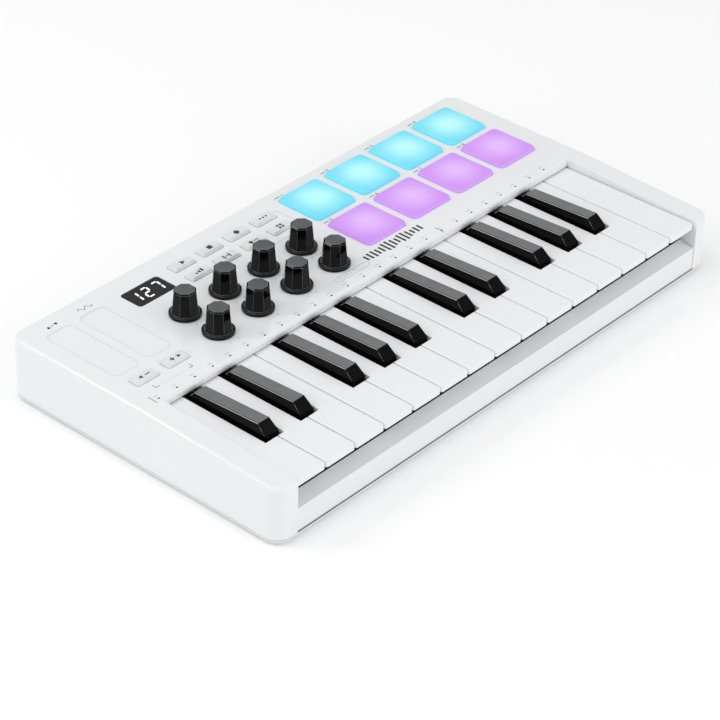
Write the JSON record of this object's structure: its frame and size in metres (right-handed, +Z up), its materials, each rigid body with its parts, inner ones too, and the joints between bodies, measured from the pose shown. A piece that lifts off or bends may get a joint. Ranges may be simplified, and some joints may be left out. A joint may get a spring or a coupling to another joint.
{
  "type": "midi keyboard",
  "caption": "Compact desktop keyboard controller: piano keys along the front, and knobs, pads, buttons, touch strips and a small display on a flat panel behind them.",
  "frame": {"origin": "under the middle of the case, on the plane that its rubber feet stand on", "axes": "+X along the row of keys to the player's right, +Y from the key fronts to the rear socket, +Z up"},
  "size_m": [0.32, 0.172, 0.048],
  "materials": {
    "case_white": "gloss moulded",
    "key_ivory": "semi-gloss moulded",
    "key_black": "satin top, gloss sides",
    "knob_black": "gloss grip, satin top",
    "pad_cyan": "translucent silicone, lit from below",
    "pad_violet": "translucent silicone, lit from below",
    "button_grey": "matt moulded",
    "window_dark": "gloss smoked",
    "bed_grey": "matt moulded",
    "contact_rubber": "matt",
    "board_green": "solder mask",
    "component_metal": "mixed housings",
    "screw_steel": "zinc plated",
    "foot_rubber": "matt"
  },
  "bodies": {
    "case": {"board_components": "component_metal", "bottom_case": "case_white", "case_screws": "screw_steel", "circuit_boards": "board_green", "contact_strips": "contact_rubber", "display_window": "window_dark", "key_bed": "bed_grey", "rubber_feet": "foot_rubber", "top_case": "case_white"},
    "white_key_01": {"white_key_01": "key_ivory"},
    "black_key_01": {"black_key_01": "key_black"},
    "knob_1_1": {"knob_1_1": "knob_black"},
    "pad_1_1": {"pad_1_1": "pad_cyan"},
    "button_1_1": {"button_1_1": "button_grey"},
    "white_key_08": {"white_key_08": "key_ivory"},
    "white_key_15": {"white_key_15": "key_ivory"},
    "black_key_05": {"black_key_05": "key_black"},
    "black_key_10": {"black_key_10": "key_black"},
    "pad_2_4": {"pad_2_4": "pad_violet"},
    "button_octave_up": {"button_octave_up": "button_grey"},
    "knob_2_4": {"knob_2_4": "knob_black"},
    "white_key_02": {"white_key_02": "key_ivory"},
    "white_key_03": {"white_key_03": "key_ivory"},
    "white_key_04": {"white_key_04": "key_ivory"},
    "white_key_05": {"white_key_05": "key_ivory"},
    "white_key_06": {"white_key_06": "key_ivory"},
    "white_key_07": {"white_key_07": "key_ivory"},
    "white_key_09": {"white_key_09": "key_ivory"},
    "white_key_10": {"white_key_10": "key_ivory"},
    "white_key_11": {"white_key_11": "key_ivory"},
    "white_key_12": {"white_key_12": "key_ivory"},
    "white_key_13": {"white_key_13": "key_ivory"},
    "white_key_14": {"white_key_14": "key_ivory"},
    "black_key_02": {"black_key_02": "key_black"},
    "black_key_03": {"black_key_03": "key_black"},
    "black_key_04": {"black_key_04": "key_black"},
    "black_key_06": {"black_key_06": "key_black"},
    "black_key_07": {"black_key_07": "key_black"},
    "black_key_08": {"black_key_08": "key_black"},
    "black_key_09": {"black_key_09": "key_black"},
    "knob_1_2": {"knob_1_2": "knob_black"},
    "knob_1_3": {"knob_1_3": "knob_black"},
    "knob_1_4": {"knob_1_4": "knob_black"},
    "knob_2_1": {"knob_2_1": "knob_black"},
    "knob_2_2": {"knob_2_2": "knob_black"},
    "knob_2_3": {"knob_2_3": "knob_black"},
    "pad_1_2": {"pad_1_2": "pad_cyan"},
    "pad_1_3": {"pad_1_3": "pad_cyan"},
    "pad_1_4": {"pad_1_4": "pad_cyan"},
    "pad_2_1": {"pad_2_1": "pad_violet"},
    "pad_2_2": {"pad_2_2": "pad_violet"},
    "pad_2_3": {"pad_2_3": "pad_violet"},
    "button_1_2": {"button_1_2": "button_grey"},
    "button_1_3": {"button_1_3": "button_grey"},
    "button_1_4": {"button_1_4": "button_grey"},
    "button_2_1": {"button_2_1": "button_grey"},
    "button_2_2": {"button_2_2": "button_grey"},
    "button_2_3": {"button_2_3": "button_grey"},
    "button_2_4": {"button_2_4": "button_grey"},
    "button_octave_down": {"button_octave_down": "button_grey"}
  },
  "joints": [
    {"name": "white_key_01_press", "type": "hinge", "parent": "case", "child": "white_key_01", "pos_m": [0, 0.004, 0.024], "axis": [1, 0, 0], "range_deg": [0, 2.6], "stiffness_Nm_per_rad": 0.4, "springref_deg": -5.73, "deforming": ["contact_strips"]},
    {"name": "black_key_01_press", "type": "hinge", "parent": "case", "child": "black_key_01", "pos_m": [0, 0.004, 0.024], "axis": [1, 0, 0], "range_deg": [0, 2.6], "stiffness_Nm_per_rad": 0.4, "springref_deg": -5.73, "deforming": ["contact_strips"]},
    {"name": "knob_1_1_turn", "type": "hinge", "parent": "case", "child": "knob_1_1", "pos_m": [-0.0906, 0.0385, 0.0344], "axis": [0, 0, 1], "continuous": true},
    {"name": "pad_1_1_press", "type": "slide", "parent": "case", "child": "pad_1_1", "axis": [0, 0, -1], "range_m": [0, 0.0008], "stiffness_N_per_m": 600, "springref_m": -0.002},
    {"name": "button_1_1_press", "type": "slide", "parent": "case", "child": "button_1_1", "axis": [0, 0, -1], "range_m": [0, 0.0006], "stiffness_N_per_m": 300, "springref_m": -0.002},
    {"name": "white_key_08_press", "type": "hinge", "parent": "case", "child": "white_key_08", "pos_m": [0, 0.004, 0.024], "axis": [1, 0, 0], "range_deg": [0, 2.6], "stiffness_Nm_per_rad": 0.4, "springref_deg": -5.73, "deforming": ["contact_strips"]},
    {"name": "white_key_15_press", "type": "hinge", "parent": "case", "child": "white_key_15", "pos_m": [0, 0.004, 0.024], "axis": [1, 0, 0], "range_deg": [0, 2.6], "stiffness_Nm_per_rad": 0.4, "springref_deg": -5.73, "deforming": ["contact_strips"]},
    {"name": "black_key_05_press", "type": "hinge", "parent": "case", "child": "black_key_05", "pos_m": [0, 0.004, 0.024], "axis": [1, 0, 0], "range_deg": [0, 2.6], "stiffness_Nm_per_rad": 0.4, "springref_deg": -5.73, "deforming": ["contact_strips"]},
    {"name": "black_key_10_press", "type": "hinge", "parent": "case", "child": "black_key_10", "pos_m": [0, 0.004, 0.024], "axis": [1, 0, 0], "range_deg": [0, 2.6], "stiffness_Nm_per_rad": 0.4, "springref_deg": -5.73, "deforming": ["contact_strips"]},
    {"name": "pad_2_4_press", "type": "slide", "parent": "case", "child": "pad_2_4", "axis": [0, 0, -1], "range_m": [0, 0.0008], "stiffness_N_per_m": 600, "springref_m": -0.002},
    {"name": "button_octave_up_press", "type": "slide", "parent": "case", "child": "button_octave_up", "axis": [0, 0, -1], "range_m": [0, 0.0006], "stiffness_N_per_m": 300, "springref_m": -0.002},
    {"name": "knob_2_4_turn", "type": "hinge", "parent": "case", "child": "knob_2_4", "pos_m": [-0.0099, 0.0168, 0.0344], "axis": [0, 0, 1], "continuous": true},
    {"name": "white_key_02_press", "type": "hinge", "parent": "case", "child": "white_key_02", "pos_m": [0, 0.004, 0.024], "axis": [1, 0, 0], "range_deg": [0, 2.6], "stiffness_Nm_per_rad": 0.4, "springref_deg": -5.73, "deforming": ["contact_strips"]},
    {"name": "white_key_03_press", "type": "hinge", "parent": "case", "child": "white_key_03", "pos_m": [0, 0.004, 0.024], "axis": [1, 0, 0], "range_deg": [0, 2.6], "stiffness_Nm_per_rad": 0.4, "springref_deg": -5.73, "deforming": ["contact_strips"]},
    {"name": "white_key_04_press", "type": "hinge", "parent": "case", "child": "white_key_04", "pos_m": [0, 0.004, 0.024], "axis": [1, 0, 0], "range_deg": [0, 2.6], "stiffness_Nm_per_rad": 0.4, "springref_deg": -5.73, "deforming": ["contact_strips"]},
    {"name": "white_key_05_press", "type": "hinge", "parent": "case", "child": "white_key_05", "pos_m": [0, 0.004, 0.024], "axis": [1, 0, 0], "range_deg": [0, 2.6], "stiffness_Nm_per_rad": 0.4, "springref_deg": -5.73, "deforming": ["contact_strips"]},
    {"name": "white_key_06_press", "type": "hinge", "parent": "case", "child": "white_key_06", "pos_m": [0, 0.004, 0.024], "axis": [1, 0, 0], "range_deg": [0, 2.6], "stiffness_Nm_per_rad": 0.4, "springref_deg": -5.73, "deforming": ["contact_strips"]},
    {"name": "white_key_07_press", "type": "hinge", "parent": "case", "child": "white_key_07", "pos_m": [0, 0.004, 0.024], "axis": [1, 0, 0], "range_deg": [0, 2.6], "stiffness_Nm_per_rad": 0.4, "springref_deg": -5.73, "deforming": ["contact_strips"]},
    {"name": "white_key_09_press", "type": "hinge", "parent": "case", "child": "white_key_09", "pos_m": [0, 0.004, 0.024], "axis": [1, 0, 0], "range_deg": [0, 2.6], "stiffness_Nm_per_rad": 0.4, "springref_deg": -5.73, "deforming": ["contact_strips"]},
    {"name": "white_key_10_press", "type": "hinge", "parent": "case", "child": "white_key_10", "pos_m": [0, 0.004, 0.024], "axis": [1, 0, 0], "range_deg": [0, 2.6], "stiffness_Nm_per_rad": 0.4, "springref_deg": -5.73, "deforming": ["contact_strips"]},
    {"name": "white_key_11_press", "type": "hinge", "parent": "case", "child": "white_key_11", "pos_m": [0, 0.004, 0.024], "axis": [1, 0, 0], "range_deg": [0, 2.6], "stiffness_Nm_per_rad": 0.4, "springref_deg": -5.73, "deforming": ["contact_strips"]},
    {"name": "white_key_12_press", "type": "hinge", "parent": "case", "child": "white_key_12", "pos_m": [0, 0.004, 0.024], "axis": [1, 0, 0], "range_deg": [0, 2.6], "stiffness_Nm_per_rad": 0.4, "springref_deg": -5.73, "deforming": ["contact_strips"]},
    {"name": "white_key_13_press", "type": "hinge", "parent": "case", "child": "white_key_13", "pos_m": [0, 0.004, 0.024], "axis": [1, 0, 0], "range_deg": [0, 2.6], "stiffness_Nm_per_rad": 0.4, "springref_deg": -5.73, "deforming": ["contact_strips"]},
    {"name": "white_key_14_press", "type": "hinge", "parent": "case", "child": "white_key_14", "pos_m": [0, 0.004, 0.024], "axis": [1, 0, 0], "range_deg": [0, 2.6], "stiffness_Nm_per_rad": 0.4, "springref_deg": -5.73, "deforming": ["contact_strips"]},
    {"name": "black_key_02_press", "type": "hinge", "parent": "case", "child": "black_key_02", "pos_m": [0, 0.004, 0.024], "axis": [1, 0, 0], "range_deg": [0, 2.6], "stiffness_Nm_per_rad": 0.4, "springref_deg": -5.73, "deforming": ["contact_strips"]},
    {"name": "black_key_03_press", "type": "hinge", "parent": "case", "child": "black_key_03", "pos_m": [0, 0.004, 0.024], "axis": [1, 0, 0], "range_deg": [0, 2.6], "stiffness_Nm_per_rad": 0.4, "springref_deg": -5.73, "deforming": ["contact_strips"]},
    {"name": "black_key_04_press", "type": "hinge", "parent": "case", "child": "black_key_04", "pos_m": [0, 0.004, 0.024], "axis": [1, 0, 0], "range_deg": [0, 2.6], "stiffness_Nm_per_rad": 0.4, "springref_deg": -5.73, "deforming": ["contact_strips"]},
    {"name": "black_key_06_press", "type": "hinge", "parent": "case", "child": "black_key_06", "pos_m": [0, 0.004, 0.024], "axis": [1, 0, 0], "range_deg": [0, 2.6], "stiffness_Nm_per_rad": 0.4, "springref_deg": -5.73, "deforming": ["contact_strips"]},
    {"name": "black_key_07_press", "type": "hinge", "parent": "case", "child": "black_key_07", "pos_m": [0, 0.004, 0.024], "axis": [1, 0, 0], "range_deg": [0, 2.6], "stiffness_Nm_per_rad": 0.4, "springref_deg": -5.73, "deforming": ["contact_strips"]},
    {"name": "black_key_08_press", "type": "hinge", "parent": "case", "child": "black_key_08", "pos_m": [0, 0.004, 0.024], "axis": [1, 0, 0], "range_deg": [0, 2.6], "stiffness_Nm_per_rad": 0.4, "springref_deg": -5.73, "deforming": ["contact_strips"]},
    {"name": "black_key_09_press", "type": "hinge", "parent": "case", "child": "black_key_09", "pos_m": [0, 0.004, 0.024], "axis": [1, 0, 0], "range_deg": [0, 2.6], "stiffness_Nm_per_rad": 0.4, "springref_deg": -5.73, "deforming": ["contact_strips"]},
    {"name": "knob_1_2_turn", "type": "hinge", "parent": "case", "child": "knob_1_2", "pos_m": [-0.0637, 0.0385, 0.0344], "axis": [0, 0, 1], "continuous": true},
    {"name": "knob_1_3_turn", "type": "hinge", "parent": "case", "child": "knob_1_3", "pos_m": [-0.0368, 0.0385, 0.0344], "axis": [0, 0, 1], "continuous": true},
    {"name": "knob_1_4_turn", "type": "hinge", "parent": "case", "child": "knob_1_4", "pos_m": [-0.0099, 0.0385, 0.0344], "axis": [0, 0, 1], "continuous": true},
    {"name": "knob_2_1_turn", "type": "hinge", "parent": "case", "child": "knob_2_1", "pos_m": [-0.0906, 0.0168, 0.0344], "axis": [0, 0, 1], "continuous": true},
    {"name": "knob_2_2_turn", "type": "hinge", "parent": "case", "child": "knob_2_2", "pos_m": [-0.0637, 0.0168, 0.0344], "axis": [0, 0, 1], "continuous": true},
    {"name": "knob_2_3_turn", "type": "hinge", "parent": "case", "child": "knob_2_3", "pos_m": [-0.0368, 0.0168, 0.0344], "axis": [0, 0, 1], "continuous": true},
    {"name": "pad_1_2_press", "type": "slide", "parent": "case", "child": "pad_1_2", "axis": [0, 0, -1], "range_m": [0, 0.0008], "stiffness_N_per_m": 600, "springref_m": -0.002},
    {"name": "pad_1_3_press", "type": "slide", "parent": "case", "child": "pad_1_3", "axis": [0, 0, -1], "range_m": [0, 0.0008], "stiffness_N_per_m": 600, "springref_m": -0.002},
    {"name": "pad_1_4_press", "type": "slide", "parent": "case", "child": "pad_1_4", "axis": [0, 0, -1], "range_m": [0, 0.0008], "stiffness_N_per_m": 600, "springref_m": -0.002},
    {"name": "pad_2_1_press", "type": "slide", "parent": "case", "child": "pad_2_1", "axis": [0, 0, -1], "range_m": [0, 0.0008], "stiffness_N_per_m": 600, "springref_m": -0.002},
    {"name": "pad_2_2_press", "type": "slide", "parent": "case", "child": "pad_2_2", "axis": [0, 0, -1], "range_m": [0, 0.0008], "stiffness_N_per_m": 600, "springref_m": -0.002},
    {"name": "pad_2_3_press", "type": "slide", "parent": "case", "child": "pad_2_3", "axis": [0, 0, -1], "range_m": [0, 0.0008], "stiffness_N_per_m": 600, "springref_m": -0.002},
    {"name": "button_1_2_press", "type": "slide", "parent": "case", "child": "button_1_2", "axis": [0, 0, -1], "range_m": [0, 0.0006], "stiffness_N_per_m": 300, "springref_m": -0.002},
    {"name": "button_1_3_press", "type": "slide", "parent": "case", "child": "button_1_3", "axis": [0, 0, -1], "range_m": [0, 0.0006], "stiffness_N_per_m": 300, "springref_m": -0.002},
    {"name": "button_1_4_press", "type": "slide", "parent": "case", "child": "button_1_4", "axis": [0, 0, -1], "range_m": [0, 0.0006], "stiffness_N_per_m": 300, "springref_m": -0.002},
    {"name": "button_2_1_press", "type": "slide", "parent": "case", "child": "button_2_1", "axis": [0, 0, -1], "range_m": [0, 0.0006], "stiffness_N_per_m": 300, "springref_m": -0.002},
    {"name": "button_2_2_press", "type": "slide", "parent": "case", "child": "button_2_2", "axis": [0, 0, -1], "range_m": [0, 0.0006], "stiffness_N_per_m": 300, "springref_m": -0.002},
    {"name": "button_2_3_press", "type": "slide", "parent": "case", "child": "button_2_3", "axis": [0, 0, -1], "range_m": [0, 0.0006], "stiffness_N_per_m": 300, "springref_m": -0.002},
    {"name": "button_2_4_press", "type": "slide", "parent": "case", "child": "button_2_4", "axis": [0, 0, -1], "range_m": [0, 0.0006], "stiffness_N_per_m": 300, "springref_m": -0.002},
    {"name": "button_octave_down_press", "type": "slide", "parent": "case", "child": "button_octave_down", "axis": [0, 0, -1], "range_m": [0, 0.0006], "stiffness_N_per_m": 300, "springref_m": -0.002}
  ]
}
